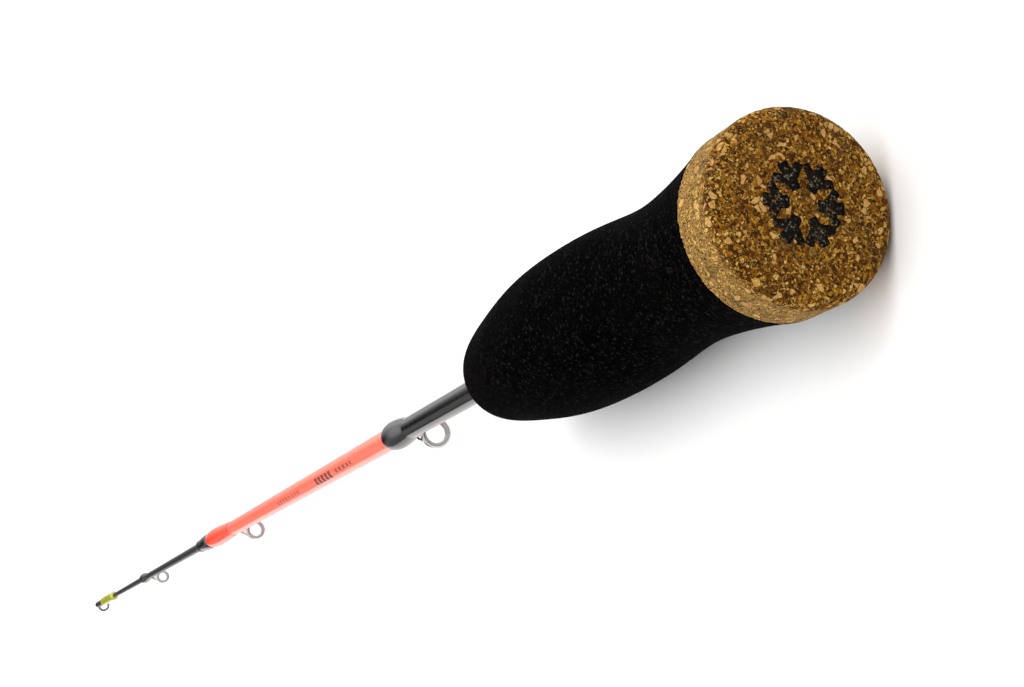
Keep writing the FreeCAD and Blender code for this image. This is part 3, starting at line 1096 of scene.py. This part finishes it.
@dataclass
class ButtCap:
    """The cork cap with its debossed snowflake."""

    shop: Workshop
    edge: float = 1.9 * MM
    depth: float = 0.6 * MM
    hub: float = 2.1 * MM
    reach: float = 6.2 * MM
    arm_width: float = 1.7 * MM
    branch_width: float = 1.25 * MM
    branch_length: float = 2.9 * MM
    branch_start: float = 3.4 * MM
    branch_angle: float = 55.0
    voxel: float = 0.2 * MM
    ink_voxel: float = 0.1 * MM
    ink_slack: float = 0.05 * MM
    granule_size: float = 0.75 * MM
    granule_depth: float = 0.10 * MM
    crumb_size: float = 0.35 * MM
    crumb_depth: float = 0.08 * MM
    grit_size: float = 0.3 * MM
    grit_depth: float = 0.12 * MM

    def bar(
        self,
        width: float,
        start: float,
        length: float,
        lean: float,
        turn: float,
        depth: Span,
    ) -> bpy.types.Object:
        """One bar of the snowflake.

        Args:
            width: The bar's width.
            start: How far from the hub it starts, up the arm.
            length: Its length.
            lean: Its angle from the arm, in degrees.
            turn: The arm's angle round the cap, in degrees.
            depth: Where it starts and ends along X.

        Returns:
            The bar as a block.
        """
        deselect_everything()
        bpy.ops.mesh.primitive_cube_add(size=1)
        bar = bpy.context.object
        bar.scale = (depth[1] - depth[0], width, length)
        bar.location = (sum(depth) / 2, 0, length / 2)
        bar = settle(bar, "snowflake_bar")
        swing = Matrix.Rotation(math.radians(turn), 4, "X")
        lift = Matrix.Translation((0, 0, start if lean else self.hub))
        bar.data.transform(swing @ lift @ Matrix.Rotation(math.radians(lean), 4, "X"))
        return bar

    def snowflake(self, name: str, depth: Span, shrink: float = 0.0) -> bpy.types.Object:
        """Six arms, each a bar with two branches, joined in one piece.

        Args:
            name: The piece's name.
            depth: Where it starts and ends along X.
            shrink: How much narrower its bars are than the mark's.

        Returns:
            The snowflake.
        """
        bars = []
        for arm in range(6):
            turn = 60.0 * arm
            bars.append(self.bar(self.arm_width - shrink, 0, self.reach - self.hub, 0, turn, depth))
            for side in (-1, 1):
                lean = side * self.branch_angle
                width = self.branch_width - shrink
                bars.append(self.bar(width, self.branch_start, self.branch_length, lean, turn, depth))
        return join(name, bars)

    def build_cap(self) -> bpy.types.Object:
        """The disc, its rounded rim, the recess and the granular surface."""
        low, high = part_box("butt_cap")
        deselect_everything()
        bpy.ops.mesh.primitive_cylinder_add(
            vertices=160,
            radius=high.y,
            depth=high.x - low.x,
            location=((low.x + high.x) / 2, 0, 0),
            rotation=(0, HALF_TURN / 2, 0),
        )
        cap = settle(bpy.context.object, "cork_butt_cap")
        with editing(cap):
            pick(cap, lambda place: place.x < low.x + self.edge / 2)
            bpy.ops.mesh.bevel(offset=self.edge, segments=8, affect="EDGES")
        cutter = self.snowflake("snowflake_cutter", (-self.depth, self.depth))
        apply(cap, "BOOLEAN", object=cutter, operation="DIFFERENCE", solver="EXACT", use_self=True)
        bpy.data.objects.remove(cutter)
        apply(cap, "REMESH", mode="VOXEL", voxel_size=self.voxel)
        roughen(cap, "cork_granule_relief", Relief.CELLS, self.granule_size, self.granule_depth)
        roughen(cap, "cork_crumb_relief", Relief.CLOUDS, self.crumb_size, self.crumb_depth)
        smooth(cap, 180)
        return cap

    def build_ink(self) -> bpy.types.Object:
        """The black filling at the bottom of the recess."""
        low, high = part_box("mark_ink")
        ink = self.snowflake("snowflake_ink", (low.x, high.x), self.ink_slack)
        apply(ink, "REMESH", mode="VOXEL", voxel_size=self.ink_voxel)
        roughen(ink, "ink_grit_relief", Relief.CLOUDS, self.grit_size, self.grit_depth)
        smooth(ink, 180)
        return ink

    def build(self) -> None:
        """Makes and hangs the cap and its ink."""
        self.shop.hang(self.build_cap(), Slot.CORK, Body.HANDLE, "butt_cap")
        self.shop.hang(self.build_ink(), Slot.MARK, Body.HANDLE, "mark_ink")


@dataclass
class Handle:
    """The foam grip and the tape rings inside it."""

    shop: Workshop
    step: float = 1.1 * MM
    rim: float = 0.25 * MM
    bore: float = 3.0 * MM

    def build(self) -> None:
        """Makes and hangs the grip, and dresses the rings."""
        stations = evenly(outline(self.shop.nodes["grip"], above=self.bore), self.step)
        first_along, first_radius = stations[0]
        stations[0] = (first_along, first_radius - self.rim)
        stations.insert(1, (first_along + self.rim, first_radius))
        grip = turned("foam_grip", stations, 144)
        smooth(grip, 60)
        self.shop.hang(grip, Slot.FOAM, Body.HANDLE, "grip")
        for place in ("rear", "centre", "front"):
            self.shop.dress_node(f"tape_arbor_{place}", Slot.TAPE)


@dataclass
class Blank:
    """The hollow blank, its lacquered stretch, the solid tip and the winding at the splice."""

    shop: Workshop
    tube_bore: float = 2.0 * MM
    tube_step: float = 8.0 * MM
    coat_step: float = 6.0 * MM
    tip_step: float = 2.0 * MM
    lip: float = 0.08 * MM
    splice_bore: float = 1.2 * MM
    splice_rings: int = 40
    splice_lean: float = 0.62
    splice_fullness: float = 0.8

    def build_tube(self) -> None:
        """The hollow blank, closed at both ends, which nothing shows."""
        stations = evenly(outline(self.shop.nodes["blank_tube"], above=self.tube_bore), self.tube_step)
        self.shop.hang(turned("blank_rear", stations, 64), Slot.BLANK, Body.HANDLE, "blank_tube")

    def build_lacquer(self) -> None:
        """The lacquered stretch, softly rounded where the coat starts and stops."""
        stations = evenly(outline(self.shop.nodes["orange_lacquer"]), self.coat_step)
        (start, wide), (end, narrow) = stations[0], stations[-1]
        rounded = [(start, wide - self.lip), (start + self.lip, wide), *stations[1:-1]]
        rounded += [(end - self.lip, narrow), (end, narrow - self.lip)]
        coat = turned("orange_coat", rounded, 64)
        self.shop.hang(coat, Slot.LACQUER, Body.HANDLE, "orange_lacquer")

    def build_tip(self) -> None:
        """The solid tip, with rings close enough together to bend smoothly."""
        stations = evenly(outline(self.shop.nodes["blank_tip"]), self.tip_step)
        self.shop.hang(turned("solid_tip", stations, 40), Slot.BLANK, Body.TIP, "blank_tip")

    def build_splice(self) -> None:
        """The winding over the splice, under resin that runs out on the solid tip."""
        shape = outline(self.shop.nodes["splice_resin"], above=self.splice_bore)
        (start, first), (end, last) = shape[0], shape[-1]
        peak = max(radius for _, radius in shape)
        stations = []
        for ring in range(self.splice_rings + 1):
            share = ring / self.splice_rings
            swell = math.sin(HALF_TURN * share**self.splice_lean) ** self.splice_fullness
            radius = first + (last - first) * share + (peak - first) * swell
            stations.append((start + (end - start) * share, radius))
        wrap = turned("splice_winding", stations, 56)
        smooth(wrap, 60)
        self.shop.hang(wrap, Slot.BLACK_WINDING, Body.HANDLE, "splice_resin", "splice_thread")

    def build(self) -> None:
        """Makes and hangs the blank's pieces."""
        self.build_tube()
        self.build_lacquer()
        self.build_tip()
        self.build_splice()


@dataclass
class LineGuide:
    """A ring that hangs under the blank: frame, ceramic insert and the winding over its foot.

    rise and fall shape the winding's resin: the larger each is against the other, the longer and
    thinner the resin runs out at its own end, rise toward the butt and fall toward the tip.
    """

    shop: Workshop
    name: str
    body: Body
    winding: Slot
    ring_width: float = 1.0 * MM
    ring_lip: float = 0.2 * MM
    insert_width: float = 1.5 * MM
    insert_lip: float = 0.3 * MM
    wire: float = 0.34 * MM
    strut_angle: float = 38.0
    strut_length: float = 2.6 * MM
    neck_thick: float = 0.6 * MM
    neck_width: float = 1.3 * MM
    neck_flare: float = 1.9
    neck_edge: float = 0.12 * MM
    rise: float = 1.35
    fall: float = 0.62
    core: float = 0.3 * MM
    winding_step: float = 0.3 * MM
    film: float = 0.02 * MM
    hump_spread: float = 0.55

    def __post_init__(self) -> None:
        """Reads the guide's sizes from the frame."""
        mount = self.shop.mounts[f"{self.name}_ring"]
        self.middle, _, height = mount["pos_m"]
        self.drop = -height
        self.bore = mount["dims"]["r_mm"] * MM
        self.insert_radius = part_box(f"{self.name}_guide_insert")[1].y
        self.ring_radius = -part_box(f"{self.name}_guide_frame")[0].z - self.drop

    def build_ring(self) -> bpy.types.Object:
        """The metal ring with its neck and two struts, joined in one piece."""
        ring = bush(
            f"{self.name}_ring_frame",
            self.middle,
            self.ring_width,
            self.insert_radius,
            self.ring_radius,
            self.drop,
            self.ring_lip,
        )
        blank = self.surface(self.middle)
        inside = self.ring_radius * 0.93
        struts = []
        for side in (-1, 1):
            angle = math.radians(self.strut_angle * side)
            start = Vector((self.middle, inside * math.sin(angle), -self.drop + inside * math.cos(angle)))
            end = Vector((self.middle + self.strut_length, side * 0.35 * MM, -blank - 0.25 * MM))
            lean = start + Vector((0.5 * MM, 0, (end.z - start.z) * 0.45))
            rise = end - Vector((1.1 * MM, 0, (end.z - start.z) * 0.1))
            struts.append(bent_wire(f"{self.name}_strut", start, lean, rise, end, self.wire))
        return join(f"{self.name}_guide_ring", [ring, self.build_neck(blank), *struts])

    def build_neck(self, blank: float) -> bpy.types.Object:
        """The flat neck from the ring up to the blank, wider where it meets the ring.

        Args:
            blank: The blank's radius at the neck.

        Returns:
            The neck.
        """
        low = -self.drop + self.insert_radius * 1.06
        high = -blank + 0.15 * MM
        deselect_everything()
        bpy.ops.mesh.primitive_cube_add(size=1)
        neck = bpy.context.object
        neck.scale = (self.neck_thick, self.neck_width, high - low)
        neck.location = (self.middle - 0.15 * MM, 0, (high + low) / 2)
        neck = settle(neck, f"{self.name}_neck")
        with editing(neck):
            pick(neck, lambda place: place.z < (high + low) / 2)
            bpy.ops.transform.resize(value=(1, self.neck_flare, 1), center_override=(self.middle, 0, low))
            bpy.ops.mesh.select_all(action="SELECT")
            bpy.ops.mesh.bevel(offset=self.neck_edge, segments=3, affect="EDGES")
        smooth(neck, 60)
        return neck

    def surface(self, along: float) -> float:
        """The radius under a guide's winding.

        Args:
            along: The place along X.

        Returns:
            The blank's radius there, lacquer included.
        """
        radius = 0.0
        for name in ("blank_tube", "orange_lacquer", "blank_tip"):
            places, radii = zip(*outline(self.shop.nodes[name], above=self.core))
            if places[0] <= along <= places[-1]:
                radius = max(radius, float(np.interp(along, places, radii)))
        return radius

    def build_winding(self) -> bpy.types.Object:
        """A spindle of resin over the thread, swollen under the blank where the foot lies."""
        low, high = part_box(f"{self.name}_guide_resin")
        start, end, peak = low.x, high.x, high.y
        count = max(24, round((end - start) / self.winding_step))
        highest = self.rise / (self.rise + self.fall)
        top = highest**self.rise * (1 - highest) ** self.fall
        stations = []
        for ring in range(count + 1):
            share = ring / count
            along = start + (end - start) * share
            base = self.surface(min(max(along, start + GRID), end - GRID))
            swell = share**self.rise * (1 - share) ** self.fall / top
            stations.append((along, base + self.film + (peak - base) * swell))
        wrap = turned(f"{self.name}_winding", stations, 64)
        self.cover_foot(wrap, start, end, -low.z - peak)
        smooth(wrap, 60)
        return wrap

    def cover_foot(self, wrap: bpy.types.Object, start: float, end: float, height: float) -> None:
        """Pushes the resin out under the blank, where it goes over the guide's foot.

        Args:
            wrap: The resin.
            start: Where it starts along X.
            end: Where it ends.
            height: How far it is pushed in its middle.
        """
        for vertex in wrap.data.vertices:
            share = (vertex.co.x - start) / (end - start)
            angle = math.atan2(vertex.co.y, -vertex.co.z)
            push = height * math.exp(-((angle / self.hump_spread) ** 2)) * (1 - (2 * share - 1) ** 4)
            vertex.co.z -= push * math.cos(angle)
            vertex.co.y += push * math.sin(angle)

    def build(self) -> None:
        """Makes and hangs the guide's pieces."""
        insert = bush(
            f"{self.name}_ring_insert",
            self.middle,
            self.insert_width,
            self.bore,
            self.insert_radius,
            self.drop,
            self.insert_lip,
        )
        prefix = f"{self.name}_guide"
        self.shop.hang(self.build_ring(), Slot.GUIDE_METAL, self.body, f"{prefix}_frame")
        self.shop.hang(insert, Slot.CERAMIC, self.body, f"{prefix}_insert")
        self.shop.hang(self.build_winding(), self.winding, self.body, f"{prefix}_resin", f"{prefix}_thread")


@dataclass
class TipTop:
    """The bright band, and the tube and ring at the very end."""

    shop: Workshop
    bore: float = 0.9 * MM
    band_step: float = 1.0 * MM
    tube_rings: int = 20
    ring_width: float = 1.0 * MM
    ring_lip: float = 0.2 * MM
    insert_width: float = 1.5 * MM
    insert_lip: float = 0.3 * MM
    wire: float = 0.34 * MM
    arm_angle: float = 62.0
    arm_overlap: float = 3.0 * MM

    def build_band(self) -> None:
        """The bright winding under its resin."""
        stations = evenly(outline(self.shop.nodes["tip_band_resin"], above=self.bore), self.band_step)
        band = turned("bright_band", stations, 48)
        smooth(band, 60)
        self.shop.hang(band, Slot.YELLOW_WINDING, Body.TIP, "tip_band_resin", "tip_band_thread")

    def build_tube(self) -> None:
        """The black tube over the end of the blank."""
        shape = outline(self.shop.nodes["tip_top_tube"], above=self.bore)
        along = np.linspace(shape[0][0], shape[-1][0], self.tube_rings)
        stations = sorted({*shape, *((float(x), float(np.interp(x, *zip(*shape)))) for x in along)})
        self.shop.hang(turned("tip_tube", stations, 48), Slot.TIP_METAL, Body.TIP, "tip_top_tube")

    def build_ring(self) -> None:
        """The ring at the end, held by two bent wires, and its insert."""
        mount = self.shop.mounts["tip_ring"]
        middle, _, height = mount["pos_m"]
        insert_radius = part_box("tip_top_insert")[1].y
        radius = -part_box("tip_top_frame")[0].z + height
        ring = bush(
            "tip_ring_band",
            middle,
            self.ring_width,
            insert_radius,
            radius,
            -height,
            self.ring_lip,
        )
        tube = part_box("tip_top_tube")[1]
        inside = radius * 0.9
        arms = []
        for side in (-1, 1):
            angle = math.radians(self.arm_angle * side)
            at_ring = Vector((middle, inside * math.sin(angle), height + inside * math.cos(angle)))
            at_tube = Vector((tube.x - self.arm_overlap, side * tube.y * 0.8, -0.5 * MM))
            lean = at_ring + Vector((-1.4 * MM, 0, 0.2 * MM))
            rise = at_tube + Vector((2.0 * MM, 0, 0))
            arms.append(bent_wire("tip_arm", at_ring, lean, rise, at_tube, self.wire))
        frame = join("tip_ring_frame", [ring, *arms])
        insert = bush(
            "tip_ring_insert",
            middle,
            self.insert_width,
            mount["dims"]["r_mm"] * MM,
            insert_radius,
            -height,
            self.insert_lip,
        )
        self.shop.hang(frame, Slot.TIP_METAL, Body.TIP, "tip_top_frame")
        self.shop.hang(insert, Slot.CERAMIC, Body.TIP, "tip_top_insert")

    def build(self) -> None:
        """Makes and hangs the pieces at the tip."""
        self.build_band()
        self.build_tube()
        self.build_ring()


# ------------------------------------------------------------------ camera, floor and light


@dataclass(frozen=True)
class Studio:
    """A pale floor, soft light from above, and a camera behind the butt.

    The camera stands off the rod's end toward +Y and looks along it. Angles are in degrees:
    off_axis lies between the rod and the line from the butt to the camera, lift turns that line
    round the rod up from the floor, and aim is how far the lens points across the rod. sideways
    and roll turn the lens a little more, and then round its own axis.
    """

    lens: float = 60.0
    distance: float = 0.22558
    off_axis: float = 36.03
    lift: float = 57.83
    aim: float = 25.306
    sideways: float = 0.766
    roll: float = 29.581
    floor_width: float = 8.0
    overhead: float = 1.85
    window_glow: float = 1.45
    dim_glow: float = 0.36
    shade_behind: float = 0.62
    lamp_power: float = 5.0
    lamp_size: Span = (2.2, 1.8)
    lamp_place: Point = (0.15, -0.95, 1.35)
    lamp_aim: Point = (0.25, 0.0, 0.0)

    def build_camera(self) -> None:
        """Sets the camera by its angles to the rod's axis."""
        lift, off_axis, aim, sideways, roll = (
            math.radians(angle) for angle in (self.lift, self.off_axis, self.aim, self.sideways, self.roll)
        )
        rod = Vector((1, 0, 0))
        outward = Vector((0, math.cos(lift), math.sin(lift)))
        across = Vector((0, math.sin(lift), -math.cos(lift)))
        place = self.distance * (math.sin(off_axis) * outward - math.cos(off_axis) * rod)
        level = math.cos(aim) * rod - math.sin(aim) * outward
        forward = math.cos(sideways) * level - math.sin(sideways) * across
        turned_across = math.cos(sideways) * across + math.sin(sideways) * level
        far = math.sin(aim) * rod + math.cos(aim) * outward
        right = math.sin(roll) * turned_across - math.cos(roll) * far
        up = -(math.sin(roll) * far + math.cos(roll) * turned_across)
        camera = bpy.data.objects.new("camera", bpy.data.cameras.new("camera"))
        bpy.context.scene.collection.objects.link(camera)
        turn = Matrix((right, up, -forward)).transposed().to_4x4()
        camera.matrix_world = Matrix.Translation(place) @ turn
        camera.data.lens = self.lens
        camera.data.sensor_width = 36.0
        camera.data.clip_start = 0.01
        bpy.context.scene.camera = camera

    def build_floor(self, height: float) -> None:
        """Lays the floor.

        Args:
            height: Its height, at the rod's lowest point.
        """
        deselect_everything()
        bpy.ops.mesh.primitive_plane_add(size=self.floor_width, location=(0, 0, height))
        floor = bpy.context.object
        floor.name = "floor"
        pale = Board("pale_sweep").finish({"Base Color": (0.93, 0.93, 0.925, 1.0), "Roughness": 0.9})
        floor.data.materials.append(pale)
        floor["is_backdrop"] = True

    def build_surround(self) -> None:
        """Lights the room: bright above and toward -Y, dim low down toward +Y and behind the butt.

        A narrow dark gap between the bright side and the dim one draws a thin black line along
        glossy round pieces.
        """
        world = bpy.context.scene.world or bpy.data.worlds.new("world")
        bpy.context.scene.world = world
        board = Board("room", world)
        x, y, z = board.parts(board.wire("ShaderNodeTexCoord", "Generated", {}, {}))
        low = 1 - z.step(0.38, 0.56)
        window_side = 1 - y.step(-0.50, 0.02)
        dim_side = y.step(0.11, 0.20)
        sides = window_side * self.window_glow + dim_side * self.dim_glow
        level = low * sides * (z.step(0.05, 0.17) * 0.75 + 0.25) + (1 - low) * self.overhead
        behind = (1 - x.step(-0.65, -0.15)) * (1 - z.step(0.55, 0.9))
        level = level * (1 - behind * self.shade_behind)
        shade = board.node("ShaderNodeBackground", {}, {"Color": (1.0, 1.0, 1.0, 1.0), "Strength": level})
        board.node("ShaderNodeOutputWorld", {}, {"Surface": Wire(board, shade.outputs[0])})

    def build_softbox(self) -> None:
        """One broad soft lamp, high up toward -Y."""
        lamp = bpy.data.lights.new("softbox", "AREA")
        lamp.shape = "RECTANGLE"
        lamp.size, lamp.size_y = self.lamp_size
        lamp.energy = self.lamp_power
        softbox = bpy.data.objects.new("softbox", lamp)
        bpy.context.scene.collection.objects.link(softbox)
        softbox.location = self.lamp_place
        aim = Vector(self.lamp_aim) - softbox.location
        softbox.rotation_mode = "QUATERNION"
        softbox.rotation_quaternion = aim.to_track_quat("-Z", "Y")

    def build(self, floor_height: float) -> None:
        """Sets the camera, floor and light, and plain display colours.

        Args:
            floor_height: Where the floor lies.
        """
        self.build_camera()
        self.build_floor(floor_height)
        self.build_surround()
        self.build_softbox()
        view = bpy.context.scene.view_settings
        view.view_transform = "Standard"
        view.look = "None"


def main() -> None:
    """Builds the rod's looks round the frame."""
    logging.basicConfig(level=logging.INFO, format="%(name)s: %(message)s")
    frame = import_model()
    cad_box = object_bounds()
    mounts = {mount["name"]: mount for mount in frame["record"]["mounts"]}
    shop = Workshop(frame["nodes"], mounts, make_finishes())
    Studio().build(cad_box[0].z)
    ButtCap(shop).build()
    Handle(shop).build()
    Blank(shop).build()
    LineGuide(shop, "stripper", Body.HANDLE, Slot.BLACK_WINDING).build()
    LineGuide(shop, "middle", Body.HANDLE, Slot.ORANGE_WINDING).build()
    LineGuide(shop, "front", Body.TIP, Slot.BLACK_WINDING).build()
    TipTop(shop).build()


if __name__ == "__main__":
    main()
